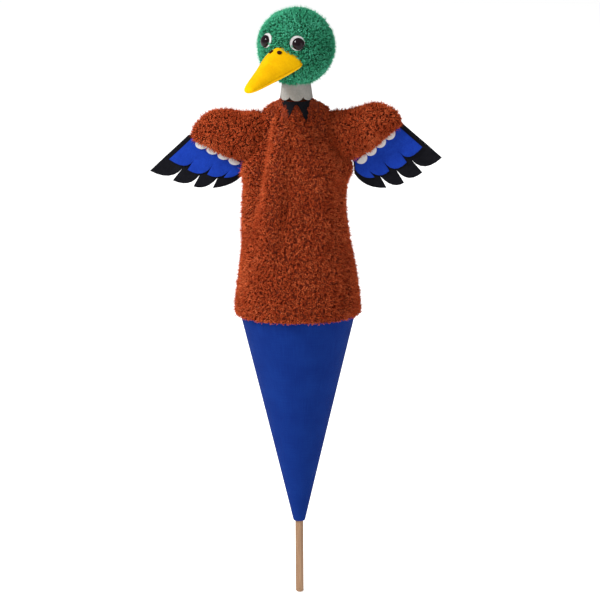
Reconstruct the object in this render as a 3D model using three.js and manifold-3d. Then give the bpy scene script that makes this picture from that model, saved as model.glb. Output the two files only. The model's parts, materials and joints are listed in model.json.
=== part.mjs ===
// A pop-up stick puppet: a mallard drake that hides in a cone. The head is glued to the top of a
// stick, the stick runs down through the tip of the cone, and a plush glove joins the neck to the
// cone's rim. Pulling the stick down draws the drake into the cone.
//
// Millimetres. The origin is the centre of the stick's lower end, +Z runs up the stick, -Y is the
// drake's front and +X is its left side.

import * as THREE from 'three';
import { mergeVertices } from 'three/addons/utils/BufferGeometryUtils.js';
import Module from 'manifold-3d';

const wasm = await Module();
wasm.setup();

// ---------------------------------------------------------------- driving dimensions

const GAP = 0.3; // between pieces that touch
const WELD = 1e-4;
const ROUND = 36; // segments around the cone and the glove
const SMALL_ROUND = 24; // segments around a smaller turned piece

const ROD_RADIUS = 4;
const ROD_LENGTH = 548;
const ROD_CHAMFER = 1;
const BORE_RADIUS = ROD_RADIUS + GAP;

const CONE_TIP_Z = 73;
const CONE_RIM_Z = 290;
const CONE_TIP_RADIUS = 6.2; // outside, just above the rounded tip
const CONE_RIM_RADIUS = 58.6; // outside
const TIP_ROUNDING = 2;
const CLOTH = 0.6;
const CARD = 1.5;
const CARD_START_Z = 77.5;
const TURN_IN = 14; // how far the cover is folded down inside the rim
const GUIDE_LOW_Z = 84;
const GUIDE_HIGH_Z = 102;

const GLOVE_WALL = 2.8; // fabric and pile
const GLOVE_SPLIT_Z = 415; // where the body meets the yoke

const SHOULDER_X = 43.5;
const SHOULDER_Z = 465;
const FELT = 1.2;
const SLEEVE_WALL = 4;
const ROOT_DEPTH = 6; // how far the felts reach into the sleeve's seam
const RIGHT_DROOP = THREE.MathUtils.degToRad(5.5); // the right wing hangs a little lower

const SPOOL_RADIUS = 10.5;
const SPOOL_LOW_Z = 499;
const SPOOL_HIGH_Z = 522.5;
const WAIST_RADIUS = 8.8;
const WAIST_Z = 504; // the middle of the spool's waist
const WAIST_LENGTH = 4;
const WAIST_SLOPE = 1.5; // from the waist out to the spool's full radius

const BINDING_RADIUS = 15.5;
const BINDING_THREAD = 1.2;
const BINDING_LOW_Z = 500.8;
const BINDING_HIGH_Z = 503.4;

const HEAD_Z = 557;
const HEAD_RADIUS = 38.5; // over the pile
const HEAD_CORE_RADIUS = 34;
const HEAD_OPENING = 13.3;
const FACE_YAW = THREE.MathUtils.degToRad(-28); // the head looks towards the drake's right

const EYE_AZIMUTH = THREE.MathUtils.degToRad(29); // each side of the face's centre
const EYE_TILT = THREE.MathUtils.degToRad(74); // from straight up
const EYE_RADIUS = 6;
const EYE_HEIGHT = 4.4;
const EYE_BRIM = 0.8; // the eye's edge, below its dome
const EYE_SHANK = 8;
const SHANK_RADIUS = 1.5;
const EYE_FELT_RADIUS = 8.5;
const EYE_FELT_SHIFT = 2;
const EYE_FELT_THICKNESS = 1;

const BILL_WALL = 1.6;

// ---------------------------------------------------------------- geometry helpers

// Joins shared vertices, drops faces with no area and turns the body's faces outwards.
function closed(geometry) {
	geometry.deleteAttribute('normal');
	geometry.deleteAttribute('uv');
	const merged = mergeVertices(geometry, WELD);
	const place = merged.attributes.position;
	const faces = [];
	let volume = 0;
	for (let i = 0; i < merged.index.count; i += 3) {
		const corners = [0, 1, 2].map((k) => merged.index.getX(i + k));
		if (new Set(corners).size < 3) continue;
		const [a, b, c] = corners.map((k) => new THREE.Vector3().fromBufferAttribute(place, k));
		volume += a.dot(b.cross(c));
		faces.push(corners);
	}
	merged.setIndex(faces.flatMap(([a, b, c]) => (volume > 0 ? [a, b, c] : [a, c, b])));
	return merged;
}

// Skins a row of rings that have the same number of points. A loop's last ring joins its first;
// otherwise both ends are capped.
function loft(rings, loop = false) {
	const around = rings[0].length;
	const points = rings.flat();
	const index = [];
	const bands = loop ? rings.length : rings.length - 1;
	for (let i = 0; i < bands; i++) {
		const low = i * around;
		const high = ((i + 1) % rings.length) * around;
		for (let k = 0; k < around; k++) {
			const next = (k + 1) % around;
			index.push(low + k, low + next, high + next, low + k, high + next, high + k);
		}
	}
	if (!loop) {
		for (const start of [0, (rings.length - 1) * around]) {
			const ring = points.slice(start, start + around);
			const middle = ring.reduce((sum, p) => sum.add(p), new THREE.Vector3());
			points.push(middle.divideScalar(around));
			for (let k = 0; k < around; k++) {
				const next = (k + 1) % around;
				const edge = start === 0 ? [start + next, start + k] : [start + k, start + next];
				index.push(points.length - 1, ...edge);
			}
		}
	}
	const geometry = new THREE.BufferGeometry().setFromPoints(points);
	geometry.setIndex(index);
	return closed(geometry);
}

// A ring of points from a function of the angle, which is 0 at the front and grows towards +X.
function ring(around, at) {
	return Array.from({ length: around }, (_, k) => at((k / around) * 2 * Math.PI));
}

// A round or oval level ring.
function level(around, z, halfWidth, halfDepth = halfWidth) {
	return ring(around, (a) => new THREE.Vector3(halfWidth * Math.sin(a), -halfDepth * Math.cos(a), z));
}

// A turned piece from a profile of [radius, z] points. A profile that starts and ends on the axis
// is solid; any other is closed on itself, as a tube is.
function turned(profile, around = SMALL_ROUND) {
	const points = profile.map(([radius, z]) => new THREE.Vector2(radius, z));
	const solid = profile[0][0] === 0 && profile.at(-1)[0] === 0;
	if (!solid) points.push(points[0].clone());
	return closed(new THREE.LatheGeometry(points, around).rotateX(Math.PI / 2));
}

// Points of a circle's arc as [radius, z], from one angle to another above the level.
function arc(radius, centreZ, from, to, steps) {
	return Array.from({ length: steps + 1 }, (_, i) => {
		const angle = from + ((to - from) * i) / steps;
		return [Math.max(0, radius * Math.cos(angle)), centreZ + radius * Math.sin(angle)];
	});
}

// A flat plate from an outline of the XZ plane, with its middle at a depth y.
function plate(outline, thickness, y) {
	const flat = new THREE.ExtrudeGeometry(outline, {
		depth: thickness,
		bevelEnabled: false,
		curveSegments: 6,
	});
	return closed(flat.rotateX(Math.PI / 2).translate(0, y + thickness / 2, 0));
}

function toSolid(geometry) {
	return new wasm.Manifold(
		new wasm.Mesh({
			numProp: 3,
			vertProperties: new Float32Array(geometry.attributes.position.array),
			triVerts: new Uint32Array(geometry.index.array),
		}),
	);
}

function toGeometry(solid) {
	const mesh = solid.getMesh();
	const geometry = new THREE.BufferGeometry();
	geometry.setAttribute('position', new THREE.BufferAttribute(mesh.vertProperties, 3));
	geometry.setIndex(new THREE.BufferAttribute(mesh.triVerts, 1));
	return geometry;
}

function cut(geometry, ...tools) {
	return toGeometry(tools.reduce((rest, tool) => rest.subtract(toSolid(tool)), toSolid(geometry)));
}

function mirrored(geometry, sign) {
	return sign > 0 ? geometry : closed(geometry.clone().scale(-1, 1, 1));
}

// ---------------------------------------------------------------- materials and the group

const puppet = new THREE.Group();

const MATERIALS = {
	beech: { color: 0xb88d64, roughness: 0.6 },
	card: { color: 0x9a8468, roughness: 0.9 },
	blueCloth: { color: 0x1c3c8e, roughness: 0.9 },
	brownPlush: { color: 0x8c3a1a, roughness: 1 },
	greenPlush: { color: 0x2a8a5a, roughness: 1 },
	wadding: { color: 0xe8e4da, roughness: 1 },
	blackFelt: { color: 0x0d0d10, roughness: 1 },
	blueFelt: { color: 0x1c3ca8, roughness: 1 },
	whiteFelt: { color: 0xc8c2b8, roughness: 1 },
	yellowFelt: { color: 0xf6b800, roughness: 0.95 },
	brownFelt: { color: 0x3a140c, roughness: 1 },
	thread: { color: 0x2a1a14, roughness: 0.8 },
	eyeGloss: { color: 0x0a0808, roughness: 0.1 },
};

function add(name, geometry, material, parent = puppet) {
	geometry.computeVertexNormals();
	const mesh = new THREE.Mesh(geometry, new THREE.MeshStandardMaterial(MATERIALS[material]));
	mesh.name = name;
	parent.add(mesh);
}

// ---------------------------------------------------------------- stick and neck spool

add(
	'rod',
	turned(
		[
			[0, 0],
			[ROD_RADIUS - ROD_CHAMFER, 0],
			[ROD_RADIUS, ROD_CHAMFER],
			[ROD_RADIUS, ROD_LENGTH - ROD_CHAMFER],
			[ROD_RADIUS - ROD_CHAMFER, ROD_LENGTH],
			[0, ROD_LENGTH],
		],
		24,
	),
	'beech',
);

// The spool is glued to the stick, and the glove's neck is tied round its waist.
const waistLow = WAIST_Z - WAIST_LENGTH / 2;
const waistHigh = WAIST_Z + WAIST_LENGTH / 2;
add(
	'neck_spool',
	turned([
		[BORE_RADIUS, SPOOL_LOW_Z],
		[SPOOL_RADIUS, SPOOL_LOW_Z],
		[SPOOL_RADIUS, waistLow - WAIST_SLOPE],
		[WAIST_RADIUS, waistLow],
		[WAIST_RADIUS, waistHigh],
		[SPOOL_RADIUS, waistHigh + WAIST_SLOPE],
		[SPOOL_RADIUS, SPOOL_HIGH_Z],
		[BORE_RADIUS, SPOOL_HIGH_Z],
	]),
	'beech',
);

// ---------------------------------------------------------------- cone

const coneSlope =
	(CONE_RIM_RADIUS - CONE_TIP_RADIUS) / (CONE_RIM_Z - CONE_TIP_Z - TIP_ROUNDING);

function coneRadius(z) {
	return CONE_TIP_RADIUS + coneSlope * (z - CONE_TIP_Z - TIP_ROUNDING);
}

const cardOutset = CLOTH + GAP; // from the cone's outside to the card
const cardInset = cardOutset + CARD;

add(
	'cone_shell',
	turned(
		[
			[coneRadius(CARD_START_Z) - cardOutset, CARD_START_Z],
			[CONE_RIM_RADIUS - cardOutset, CONE_RIM_Z],
			[CONE_RIM_RADIUS - cardInset, CONE_RIM_Z],
			[coneRadius(CARD_START_Z) - cardInset, CARD_START_Z],
		],
		ROUND,
	),
	'card',
);

// One piece of cloth: up the outside, over the rim and a little way down the inside.
const liningInset = cardInset + GAP;
const turnInZ = CONE_RIM_Z - TURN_IN;
add(
	'cone_cover',
	turned(
		[
			[BORE_RADIUS + GAP, CONE_TIP_Z],
			[CONE_TIP_RADIUS - 1, CONE_TIP_Z],
			[CONE_TIP_RADIUS, CONE_TIP_Z + TIP_ROUNDING],
			[CONE_RIM_RADIUS, CONE_RIM_Z],
			[CONE_RIM_RADIUS, CONE_RIM_Z + GAP + CLOTH],
			[CONE_RIM_RADIUS - liningInset - CLOTH, CONE_RIM_Z + GAP + CLOTH],
			[coneRadius(turnInZ) - liningInset - CLOTH, turnInZ],
			[coneRadius(turnInZ) - liningInset, turnInZ],
			[CONE_RIM_RADIUS - liningInset, CONE_RIM_Z + GAP],
			[CONE_RIM_RADIUS - CLOTH, CONE_RIM_Z + GAP],
			[CONE_TIP_RADIUS - CLOTH, CONE_TIP_Z + TIP_ROUNDING],
			[BORE_RADIUS + GAP, CONE_TIP_Z + CLOTH],
		],
		ROUND,
	),
	'blueCloth',
);

// A turned plug in the tip guides the stick.
add(
	'tip_guide',
	turned([
		[BORE_RADIUS, GUIDE_LOW_Z],
		[coneRadius(GUIDE_LOW_Z) - liningInset, GUIDE_LOW_Z],
		[coneRadius(GUIDE_HIGH_Z) - liningInset, GUIDE_HIGH_Z],
		[BORE_RADIUS, GUIDE_HIGH_Z],
	]),
	'beech',
);

// ---------------------------------------------------------------- glove

// [z, half width, half depth] of the outside, from the hem over the cone's rim to the armpits.
const BODY_LEVELS = [
	[286, 61.6, 61.6],
	[292, 62.2, 61.9],
	[306, 60.9, 59.2],
	[325, 58.4, 55],
	[357, 53.4, 49],
	[388, 51.9, 46],
	[GLOVE_SPLIT_Z, 52, 44.5],
];
// The yoke narrows from the armpits to the neck, with the sleeves outside it.
const YOKE_LEVELS = [
	[GLOVE_SPLIT_Z + GAP, 52, 44.5],
	[432, 52.2, 43.8],
	[438.5, 50, 43.2],
	[440.5, 43.2, 43],
	[450, 41, 41],
	[458, 36, 36],
	[465, 31, 31],
	[475, 26, 26],
	[485, 23, 23],
	[494, 19.6, 19.6],
	[500, 14, 14],
	[504.5, 14, 14],
];

function gloveTube(levels, wall) {
	const outside = levels.map(([z, w, d]) => level(ROUND, z, w, d));
	const inside = levels.map(([z, w, d], i) => level(ROUND, z, w - wall(i), d - wall(i)));
	return loft([...outside, ...inside.reverse()], true);
}

// The hem, at the first two levels, is a little thinner, to clear the cloth on the cone.
const HEM_WALL = GLOVE_WALL - 0.2;
add('glove_body', gloveTube(BODY_LEVELS, (i) => (i < 2 ? HEM_WALL : GLOVE_WALL)), 'brownPlush');
add('glove_yoke', gloveTube(YOKE_LEVELS, () => GLOVE_WALL), 'brownPlush');

// The thread that ties the gathered neck of the glove.
add(
	'neck_binding',
	turned([
		[BINDING_RADIUS - BINDING_THREAD, BINDING_LOW_Z],
		[BINDING_RADIUS, BINDING_LOW_Z],
		[BINDING_RADIUS, BINDING_HIGH_Z],
		[BINDING_RADIUS - BINDING_THREAD, BINDING_HIGH_Z],
	]),
	'thread',
);

// ---------------------------------------------------------------- ruff and collar

// A felt band round the neck whose lower edge follows a function of the angle.
function skirt(around, topZ, topRadius, lowZ, lowRadius, edgeZ) {
	const flare = (lowRadius - topRadius) / (topZ - lowZ);
	const row = (inset, share) =>
		ring(around, (a) => {
			const z = topZ + (edgeZ(a) - topZ) * share;
			const radius = topRadius + flare * (topZ - z) - inset;
			return new THREE.Vector3(radius * Math.sin(a), -radius * Math.cos(a), z);
		});
	return loft([row(0, 0), row(0, 0.5), row(0, 1), row(FELT, 1), row(FELT, 0.5), row(FELT, 0)], true);
}

const RUFF_TOP_Z = 503.8;
const RUFF_NOTCH_Z = 501;
const RUFF_TIP_Z = 488.5;
const RUFF_SPIKES = 6;

// A saw edge: 0 between two spikes and 1 at a spike's tip. The front lies between two spikes.
function spike(angle) {
	const turn = (angle * RUFF_SPIKES) / (2 * Math.PI);
	return 1 - Math.abs(2 * (turn - Math.floor(turn)) - 1);
}

add(
	'neck_ruff',
	skirt(48, RUFF_TOP_Z, 17.2, RUFF_TIP_Z, 25.6, (a) =>
		THREE.MathUtils.lerp(RUFF_NOTCH_Z, RUFF_TIP_Z, spike(a)),
	),
	'blackFelt',
);

const COLLAR_TOP_Z = 520.6;
const COLLAR_CUSP_Z = 509;
const COLLAR_DROP = 4.5;
const COLLAR_SCALLOPS = 7;

add(
	'white_collar',
	skirt(56, COLLAR_TOP_Z, 14.4, COLLAR_CUSP_Z - COLLAR_DROP, 16.6, (a) => {
		const round = Math.sqrt(Math.abs(Math.cos((a * COLLAR_SCALLOPS) / 2)));
		return COLLAR_CUSP_Z - COLLAR_DROP * round;
	}),
	'whiteFelt',
);

// ---------------------------------------------------------------- head

const head = new THREE.Group();
head.position.z = HEAD_Z;
head.rotation.z = FACE_YAW;
puppet.add(head);

const quarter = Math.PI / 2;
const coreInner = HEAD_CORE_RADIUS + GAP;

// Tools for the eyes' shanks, which go through the cover into the core.
const shankHoleRadius = SHANK_RADIUS + GAP;
const shankHoleDepth = EYE_SHANK + 5;
const shankHoles = [-1, 1].map((side) => {
	const place = new THREE.Matrix4()
		.makeRotationZ(side * EYE_AZIMUTH)
		.multiply(new THREE.Matrix4().makeRotationX(EYE_TILT))
		.multiply(new THREE.Matrix4().makeTranslation(0, 0, HEAD_RADIUS - EYE_SHANK - GAP));
	const hole = turned(
		[
			[0, 0],
			[shankHoleRadius, 0],
			[shankHoleRadius, shankHoleDepth],
			[0, shankHoleDepth],
		],
		12,
	);
	return hole.applyMatrix4(place);
});

const coreStart = Math.acos(BORE_RADIUS / HEAD_CORE_RADIUS);
add(
	'head_core',
	cut(
		turned([
			[0, ROD_LENGTH - HEAD_Z + GAP],
			[BORE_RADIUS, ROD_LENGTH - HEAD_Z + GAP],
			...arc(HEAD_CORE_RADIUS, 0, -coreStart, quarter, 10),
		]),
		...shankHoles,
	),
	'beech',
	head,
);

add(
	'head_cover',
	cut(
		turned([
			...arc(HEAD_RADIUS, 0, -Math.acos(HEAD_OPENING / HEAD_RADIUS), quarter, 11),
			...arc(coreInner, 0, quarter, -Math.acos(HEAD_OPENING / coreInner), 11),
			[HEAD_OPENING, -Math.sqrt(HEAD_RADIUS ** 2 - HEAD_OPENING ** 2)],
		]),
		...shankHoles,
	),
	'greenPlush',
	head,
);

['right', 'left'].forEach((name, i) => {
	const azimuth = new THREE.Group();
	azimuth.rotation.z = (i ? 1 : -1) * EYE_AZIMUTH;
	const socket = new THREE.Group();
	socket.rotation.x = EYE_TILT;
	azimuth.add(socket);
	head.add(azimuth);

	const feltBase = HEAD_RADIUS + GAP;
	const felt = new THREE.Shape().absarc(0, EYE_FELT_SHIFT, EYE_FELT_RADIUS, 0, 2 * Math.PI);
	felt.holes.push(new THREE.Path().absarc(0, 0, shankHoleRadius, 0, 2 * Math.PI));
	const disc = new THREE.ExtrudeGeometry(felt, {
		depth: EYE_FELT_THICKNESS,
		bevelEnabled: false,
		curveSegments: 10,
	});
	add(`${name}_eye_felt`, closed(disc.translate(0, 0, feltBase)), 'whiteFelt', socket);

	const eyeBase = feltBase + EYE_FELT_THICKNESS + GAP;
	const shankEnd = HEAD_RADIUS - EYE_SHANK;
	const dome = arc(1, 0, 0, quarter, 4).map(([r, z]) => [
		r * EYE_RADIUS,
		eyeBase + EYE_BRIM + z * (EYE_HEIGHT - EYE_BRIM),
	]);
	add(
		`${name}_eye`,
		turned(
			[
				[0, shankEnd],
				[SHANK_RADIUS, shankEnd],
				[SHANK_RADIUS, eyeBase],
				[EYE_RADIUS, eyeBase],
				...dome,
			],
			16,
		),
		'eyeGloss',
		socket,
	);
});

// ---------------------------------------------------------------- bill

// Along the bill: [distance from the head's centre, half width, height over the seam, depth under it].
const BILL_SECTIONS = [
	[18, 25.5, 16.5, 8],
	[30, 24.6, 16, 7.4],
	[40, 23, 14.8, 6.8],
	[54, 18.6, 11.6, 5.8],
	[68, 14.2, 8.6, 4.8],
	[82, 10.4, 6.2, 3.8],
	[94, 7.6, 4.4, 2.9],
	[101, 5.6, 3.2, 2.2],
	[104, 3.4, 2, 1.5],
];
const SEAM_START = -10.6; // the seam's height at the mouth's corners
const SEAM_START_AT = 28;
const SEAM_SLOPE = -0.22;

function seamZ(distance) {
	return SEAM_START + SEAM_SLOPE * (distance - SEAM_START_AT);
}

function billPoint([distance, halfWidth, over, under], angle) {
	const height = Math.sin(angle) * (Math.sin(angle) > 0 ? over : under);
	return new THREE.Vector3(halfWidth * Math.cos(angle), -distance, seamZ(distance) + height);
}

function billForm(inset, sections = BILL_SECTIONS) {
	const rings = sections.map(([distance, ...sizes]) =>
		ring(24, (a) => billPoint([distance, ...sizes.map((s) => s - inset)], a)),
	);
	return loft(rings);
}

const innerSections = BILL_SECTIONS.slice(0, -2);
const socketBall = turned(arc(HEAD_RADIUS + GAP, 0, -quarter, quarter, 16), 36);

// A block on one side of the seam, tilted with it.
function seamBlock(side) {
	const size = 240;
	const block = new THREE.BoxGeometry(size, size, size);
	block.translate(0, 0, side * (size / 2 - GAP / 2));
	block.rotateX(-Math.atan(SEAM_SLOPE));
	return closed(block.translate(0, -SEAM_START_AT, SEAM_START));
}

const billShell = cut(billForm(0), billForm(BILL_WALL, innerSections), socketBall);
add('bill_upper', cut(billShell, seamBlock(-1)), 'yellowFelt', head);
add('bill_lower', cut(billShell, seamBlock(1)), 'yellowFelt', head);
add(
	'bill_stuffing',
	cut(billForm(BILL_WALL + GAP, innerSections), socketBall),
	'wadding',
	head,
);

// Two oval felt nostrils lie on the upper bill, close to the face.
const NOSTRIL_AT = [44, 21.9, 14.1, 6.5]; // the bill's section there
const NOSTRIL_ANGLE = Math.acos(0.24);
const NOSTRIL_LEAN = [0.035, -0.42]; // sideways for each mm off the middle, and forwards
const NOSTRIL_RINGS = [level(20, 0.7, 2, 2.6), level(20, 1.5, 1.7, 2.2)];
[
	['right', Math.PI - NOSTRIL_ANGLE],
	['left', NOSTRIL_ANGLE],
].forEach(([name, angle]) => {
	const place = billPoint(NOSTRIL_AT, angle);
	const group = new THREE.Group();
	group.position.copy(place);
	const [sideways, forwards] = NOSTRIL_LEAN;
	const outward = new THREE.Vector3(place.x * sideways, forwards, 1).normalize();
	group.quaternion.setFromUnitVectors(new THREE.Vector3(0, 0, 1), outward);
	head.add(group);
	add(`${name}_nostril`, loft(NOSTRIL_RINGS), 'brownFelt', group);
});

// ---------------------------------------------------------------- sleeves and wings

// Along the arm, measured from the shoulder: [x, middle z, half height, half depth].
const SLEEVE_SECTIONS = [
	[3.4, 1.2, 23.4, 15],
	[8, 1.4, 24.6, 16.6],
	[20, 5.2, 24.6, 17],
	[30, 10.4, 23.3, 16.6],
	[37, 13.4, 20.8, 15.4],
	[46, 16.5, 14.5, 12.6],
	[52, 17.6, 9.2, 9.4],
	[57, 17.8, 5.2, 6],
	[60, 17.2, 2.2, 2.6],
];

function sleeveForm(inset, sections) {
	const rings = sections.map(([x, z, high, deep]) =>
		ring(20, (a) => {
			const y = -(deep - inset) * Math.cos(a);
			return new THREE.Vector3(x, y, z + (high - inset) * Math.sin(a));
		}),
	);
	return loft(rings);
}

// The sleeve's lower edge runs straight from the armpit to the cuff. The felts are sewn into it.
const EDGE_INNER = new THREE.Vector2(13, -25.6);
const EDGE_OUTER = new THREE.Vector2(59.5, 14.6);
const edgeAlong = EDGE_OUTER.clone().sub(EDGE_INNER).normalize();
const edgeInward = new THREE.Vector2(-edgeAlong.y, edgeAlong.x);

function fromEdge(start, along, inward) {
	return start.clone().addScaledVector(edgeAlong, along).addScaledVector(edgeInward, inward);
}

// A felt from its root inside the seam, round its feathers and back. Each feather has a pointed
// tip, a round belly and a notch, and the next feather starts at the notch.
function featheredOutline(feathers, innerEnd) {
	const outline = new THREE.Shape();
	const rootOuter = fromEdge(EDGE_OUTER, -5, ROOT_DEPTH);
	outline.moveTo(rootOuter.x, rootOuter.y);
	outline.lineTo(...feathers[0].start);
	for (const { tip, belly, notch } of feathers) {
		outline.lineTo(...tip);
		const control = [0, 1].map((k) => 2 * belly[k] - (tip[k] + notch[k]) / 2);
		outline.quadraticCurveTo(...control, ...notch);
	}
	outline.lineTo(...innerEnd);
	const rootInner = fromEdge(EDGE_INNER, 1, ROOT_DEPTH);
	outline.lineTo(rootInner.x, rootInner.y);
	return outline;
}

const BLACK_FEATHERS = [
	{ start: [60.4, 14.6], tip: [101.4, -22.9], belly: [84.8, -31.9], notch: [71, -24.7] },
	{ tip: [81.8, -38], belly: [68.4, -43.1], notch: [55.9, -34.8] },
	{ tip: [63.5, -47.6], belly: [52, -49.6], notch: [39.8, -41.2] },
	{ tip: [46, -52.6], belly: [27, -50.2], notch: [13.9, -38.4] },
];
const BLUE_FEATHERS = [
	{ start: [57.7, 10.6], tip: [81.8, -11.5], belly: [69.3, -21.1], notch: [59.5, -16.5] },
	{ tip: [66.2, -26.6], belly: [54, -33], notch: [43, -25.6] },
	{ tip: [48.8, -35.2], belly: [39, -39.8], notch: [28.7, -35.2] },
	{ tip: [34, -41.7], belly: [23.6, -41.4], notch: [14.8, -33.9] },
];
const SCALLOPS = 4;
const SCALLOP_RADIUS = 6;
const SCALLOP_PITCH = 12.4;
const SCALLOPS_START = 3.6; // from the edge's inner end

// The white strip's scallops, as half circles in a row along the sleeve's lower edge.
function scallopOutline() {
	const outline = new THREE.Shape();
	const angle = Math.atan2(edgeAlong.y, edgeAlong.x);
	const start = fromEdge(EDGE_INNER, SCALLOPS_START, ROOT_DEPTH);
	outline.moveTo(start.x, start.y);
	const half = SCALLOP_PITCH / 2;
	for (let i = 0; i < SCALLOPS; i++) {
		const { x, y } = fromEdge(EDGE_INNER, SCALLOPS_START + SCALLOP_PITCH * (i + 0.5), -0.5);
		outline.absellipse(x, y, half, SCALLOP_RADIUS, Math.PI, 2 * Math.PI, false, angle);
	}
	const end = fromEdge(EDGE_INNER, SCALLOPS_START + SCALLOP_PITCH * SCALLOPS, ROOT_DEPTH);
	outline.lineTo(end.x, end.y);
	return outline;
}

// The slit in the sleeve's lower seam that takes the three felts. It runs past the sleeve's ends
// and out below it.
function seamSlit() {
	const past = 20;
	const below = 70;
	const corners = [
		fromEdge(EDGE_INNER, -past, ROOT_DEPTH + GAP),
		fromEdge(EDGE_OUTER, past, ROOT_DEPTH + GAP),
		fromEdge(EDGE_OUTER, past, -below),
		fromEdge(EDGE_INNER, -past, -below),
	];
	const outline = new THREE.Shape(corners);
	return plate(outline, 3 * FELT + 4 * GAP, 0);
}

const layer = FELT + GAP; // from one felt's middle to the next
// The sleeve's hollow ends short of the cuff and opens at the shoulder.
const filledSections = SLEEVE_SECTIONS.slice(0, -2);
const [[rootX, ...rootSizes], ...outerSections] = filledSections;
const hollowSections = [[rootX - 5, ...rootSizes], ...outerSections];

const sides = [
	{ name: 'left', sign: 1, droop: 0 },
	{ name: 'right', sign: -1, droop: RIGHT_DROOP },
];
for (const { name, sign, droop } of sides) {
	const wing = new THREE.Group();
	wing.position.set(sign * SHOULDER_X, 0, SHOULDER_Z);
	wing.rotation.y = sign * droop;
	puppet.add(wing);

	const hollow = sleeveForm(SLEEVE_WALL, hollowSections);
	const sleeve = cut(sleeveForm(0, SLEEVE_SECTIONS), hollow, seamSlit());
	const stuffing = cut(sleeveForm(SLEEVE_WALL + GAP, filledSections), seamSlit());
	const black = plate(featheredOutline(BLACK_FEATHERS, [13, -26.3]), FELT, layer);
	const blue = plate(featheredOutline(BLUE_FEATHERS, [14.6, -26.6]), FELT, 0);
	const white = plate(scallopOutline(), FELT, -layer);
	add(`${name}_sleeve`, mirrored(sleeve, sign), 'brownPlush', wing);
	add(`${name}_arm_stuffing`, mirrored(stuffing, sign), 'wadding', wing);
	add(`${name}_wing_black`, mirrored(black, sign), 'blackFelt', wing);
	add(`${name}_wing_blue`, mirrored(blue, sign), 'blueFelt', wing);
	add(`${name}_wing_white`, mirrored(white, sign), 'whiteFelt', wing);
}

export default puppet;
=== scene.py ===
"""A pop-up stick puppet of a mallard drake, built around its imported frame.

Metres, +Z up the stick, -Y the drake's front and +X its left side. Each section is one piece, or a
group of like pieces, in the order in which the puppet is put together.
"""

import json
import math

import bpy
import numpy as np
from mathutils import Euler, Matrix, Vector
from mathutils.kdtree import KDTree


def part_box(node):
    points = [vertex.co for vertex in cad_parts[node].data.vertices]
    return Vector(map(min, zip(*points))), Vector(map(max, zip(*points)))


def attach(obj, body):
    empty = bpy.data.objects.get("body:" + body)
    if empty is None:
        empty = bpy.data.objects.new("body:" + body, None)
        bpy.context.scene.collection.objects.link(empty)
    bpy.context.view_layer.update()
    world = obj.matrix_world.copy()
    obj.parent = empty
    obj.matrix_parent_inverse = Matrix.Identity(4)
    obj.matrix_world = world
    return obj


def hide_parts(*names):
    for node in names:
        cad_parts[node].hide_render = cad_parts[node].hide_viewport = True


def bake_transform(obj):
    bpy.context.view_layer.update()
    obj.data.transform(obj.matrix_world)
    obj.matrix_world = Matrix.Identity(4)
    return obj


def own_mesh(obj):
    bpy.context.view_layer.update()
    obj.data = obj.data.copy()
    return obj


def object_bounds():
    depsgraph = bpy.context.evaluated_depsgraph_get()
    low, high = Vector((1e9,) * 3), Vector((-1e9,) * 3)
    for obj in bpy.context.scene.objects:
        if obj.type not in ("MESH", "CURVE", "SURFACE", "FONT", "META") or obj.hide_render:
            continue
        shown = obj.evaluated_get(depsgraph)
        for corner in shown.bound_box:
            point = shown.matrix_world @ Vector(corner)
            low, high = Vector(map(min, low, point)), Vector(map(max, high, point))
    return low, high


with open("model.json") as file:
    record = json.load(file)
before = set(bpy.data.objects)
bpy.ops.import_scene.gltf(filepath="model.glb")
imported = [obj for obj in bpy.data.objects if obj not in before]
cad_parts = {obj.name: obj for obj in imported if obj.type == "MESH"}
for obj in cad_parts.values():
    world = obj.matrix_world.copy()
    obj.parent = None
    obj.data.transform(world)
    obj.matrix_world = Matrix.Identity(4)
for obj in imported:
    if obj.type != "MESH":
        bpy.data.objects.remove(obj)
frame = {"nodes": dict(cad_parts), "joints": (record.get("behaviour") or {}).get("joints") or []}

cad_low, cad_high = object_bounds()
MM = 0.001

# ------------------------------------------------------------------ studio
# A pale floor under the stick's end, a white room and three soft lights. The camera stands well
# back in front and looks down a little, so that the puppet fills the picture from end to end.

ELEVATION = math.radians(12)
CAMERA_DISTANCE = 16.0
PICTURE_HEIGHT = 0.6  # how much of the puppet's plane the picture takes in
SENSOR = 36.0

middle = Vector((2.2 * MM, 0, (cad_low.z + cad_high.z) / 2 + 0.8 * MM))
towards = Vector((0, -math.cos(ELEVATION), math.sin(ELEVATION)))
bpy.ops.object.camera_add(location=middle + towards * CAMERA_DISTANCE)
camera = bpy.context.object
camera.name = "camera"
camera.data.sensor_width = SENSOR
camera.data.lens = SENSOR * CAMERA_DISTANCE / PICTURE_HEIGHT
camera.data.clip_end = 60
camera.rotation_euler = Euler((math.pi / 2 - ELEVATION, 0, 0))
camera.rotation_euler.rotate_axis("Z", math.radians(-0.39))
bpy.context.scene.camera = camera
bpy.context.scene.view_settings.view_transform = "Standard"


def soft_light(name, place, size, power):
    bpy.ops.object.light_add(type="AREA", location=place)
    lamp = bpy.context.object
    lamp.name = name
    lamp.data.size = size
    lamp.data.energy = power
    lamp.rotation_euler = (middle - Vector(place)).to_track_quat("-Z", "Y").to_euler()


soft_light("key_light", (-1.8, -1.3, 2.5), 0.8, 124)
soft_light("fill_light", (1.9, -1.9, 0.9), 1.6, 12)
soft_light("back_light", (0.8, 1.9, 1.6), 1.2, 20)

world = bpy.data.worlds.new("white_room")
bpy.context.scene.world = world
world.use_nodes = True
world.node_tree.nodes["Background"].inputs["Color"].default_value = (1, 1, 1, 1)
world.node_tree.nodes["Background"].inputs["Strength"].default_value = 0.36


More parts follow.
